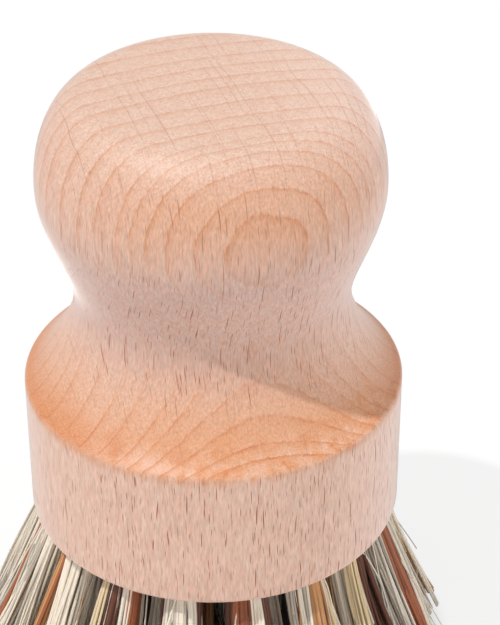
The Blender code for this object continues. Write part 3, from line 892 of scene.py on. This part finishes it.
class DISH_BRUSH_OT_turned_block(bpy.types.Operator):
    """Turn the beech block with its knob, and drill it for the tufts and their staples"""

    bl_idname = "dish_brush.turned_block"
    bl_label = "Turned block"

    def execute(self, context):
        settings = context.scene.dish_brush
        s, tufts = settings.block, settings.tufts
        profile = [(radius, BLOCK_LOW.z + height) for radius, height in block_profile(s)]
        piece = turn_on_lathe("turned_beech_block", profile, s.steps)
        frames = [hole_frame(*hole[2:]) for hole in holes(s, tufts)]
        bore(piece, frames, tufts.hole_radius, -DRILL_OVERRUN, tufts.hole_depth, s.hole_sides)
        side = tufts.hole_radius - tufts.wire_radius - 1.5 * GAP
        low, high = tufts.hole_depth - tufts.crown_height, tufts.hole_depth + tufts.leg_reach + GAP
        for across in (side, -side):
            bore(piece, frames, tufts.wire_radius + GAP, low, high, LEG_HOLE_SIDES, across)
        select_only(piece)
        bpy.ops.object.shade_smooth_by_angle(angle=math.radians(30))
        finish_piece(piece, [turned_beech(s)], "handle_block")
        return {"FINISHED"}


class DISH_BRUSH_OT_fibre_tufts(bpy.types.Operator):
    """Fold the mixed plant fibres into their holes, a tuft at a time"""

    bl_idname = "dish_brush.fibre_tufts"
    bl_label = "Fibre tufts"

    def execute(self, context):
        settings = context.scene.dish_brush
        s = settings.tufts
        finishes = [
            plant_fibre("bleached_agave_fibre", s.cream, 0.5, 0.5),
            plant_fibre("straw_agave_fibre", s.straw, 0.5, 0.5),
            plant_fibre("golden_agave_fibre", s.golden, 0.5, 0.4),
            plant_fibre("russet_palm_fibre", s.russet, 0.45, 0.25),
            plant_fibre("umber_palm_fibre", s.umber, 0.45, 0.25),
        ]
        for index, hole in enumerate(holes(settings.block, s)):
            rng = random.Random(s.seed * 1000 + index)
            name = "{}_{}".format(*hole[:2])
            piece = tuft_fibres("fibres_" + name, hole, finishes, s, rng)
            finish_piece(piece, [], "tuft_" + name)
        return {"FINISHED"}


class DISH_BRUSH_OT_wire_staples(bpy.types.Operator):
    """Give the CAD model's wire staples their drawn steel"""

    bl_idname = "dish_brush.wire_staples"
    bl_label = "Wire staples"

    def execute(self, context):
        steel = drawn_steel(context.scene.dish_brush.staples)
        for name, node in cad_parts.items():
            if name.startswith("staple_"):
                node.data.materials.clear()
                node.data.materials.append(steel)
        return {"FINISHED"}


class DISH_BRUSH_OT_stage(bpy.types.Operator):
    """Set up the white floor, the lamp, the even sky and the camera"""

    bl_idname = "dish_brush.stage"
    bl_label = "Stage"

    def execute(self, context):
        s = context.scene.dish_brush.stage
        deselect()
        bpy.ops.mesh.primitive_plane_add(size=s.floor_size)
        floor = context.object
        floor.name = "studio_floor"
        floor.data.materials.append(studio_floor(s))

        level = math.cos(s.lamp_height)
        towards = Vector(
            (level * math.sin(s.lamp_bearing), -level * math.cos(s.lamp_bearing), math.sin(s.lamp_height))
        )
        facing = towards.to_track_quat("Z", "Y").to_euler()
        bpy.ops.object.light_add(type="SUN", location=towards, rotation=facing)
        lamp = context.object.data
        lamp.energy = s.lamp
        lamp.angle = s.lamp_width

        context.scene.world = studio_sky(s)

        ahead = (Vector(s.camera_aim) - Vector(s.camera_place)).normalized()
        turn = ahead.to_track_quat("-Z", "Y") @ Matrix.Rotation(s.camera_roll, 3, "Z").to_quaternion()
        bpy.ops.object.camera_add(location=s.camera_place, rotation=turn.to_euler())
        camera = context.object
        camera.data.lens = s.camera_lens
        camera.data.sensor_width = 36.0
        context.scene.camera = camera
        context.scene.view_settings.view_transform = "Standard"
        return {"FINISHED"}


class DISH_BRUSH_PT_panel(bpy.types.Panel):
    """The brush's pieces in the 3D view's sidebar"""

    bl_label = "Dish brush"
    bl_idname = "DISH_BRUSH_PT_panel"
    bl_space_type = "VIEW_3D"
    bl_region_type = "UI"
    bl_category = "Dish brush"

    def draw(self, context):
        settings = context.scene.dish_brush
        groups = (
            (DISH_BRUSH_OT_turned_block, settings.block),
            (DISH_BRUSH_OT_fibre_tufts, settings.tufts),
            (DISH_BRUSH_OT_wire_staples, settings.staples),
            (DISH_BRUSH_OT_stage, settings.stage),
        )
        for operator, group in groups:
            box = self.layout.box()
            box.operator(operator.bl_idname)
            for name in group.bl_rna.properties.keys():
                if name not in ("rna_type", "name"):
                    box.prop(group, name)


CLASSES = (
    BlockSettings,
    TuftSettings,
    StapleSettings,
    StageSettings,
    DishBrushSettings,
    DISH_BRUSH_OT_turned_block,
    DISH_BRUSH_OT_fibre_tufts,
    DISH_BRUSH_OT_wire_staples,
    DISH_BRUSH_OT_stage,
    DISH_BRUSH_PT_panel,
)


def register():
    for cls in CLASSES:
        bpy.utils.register_class(cls)
    bpy.types.Scene.dish_brush = PointerProperty(type=DishBrushSettings)


def unregister():
    del bpy.types.Scene.dish_brush
    for cls in reversed(CLASSES):
        bpy.utils.unregister_class(cls)


def main():
    register()
    bpy.ops.dish_brush.turned_block()
    bpy.ops.dish_brush.fibre_tufts()
    bpy.ops.dish_brush.wire_staples()
    bpy.ops.dish_brush.stage()


if __name__ == "__main__":
    main()
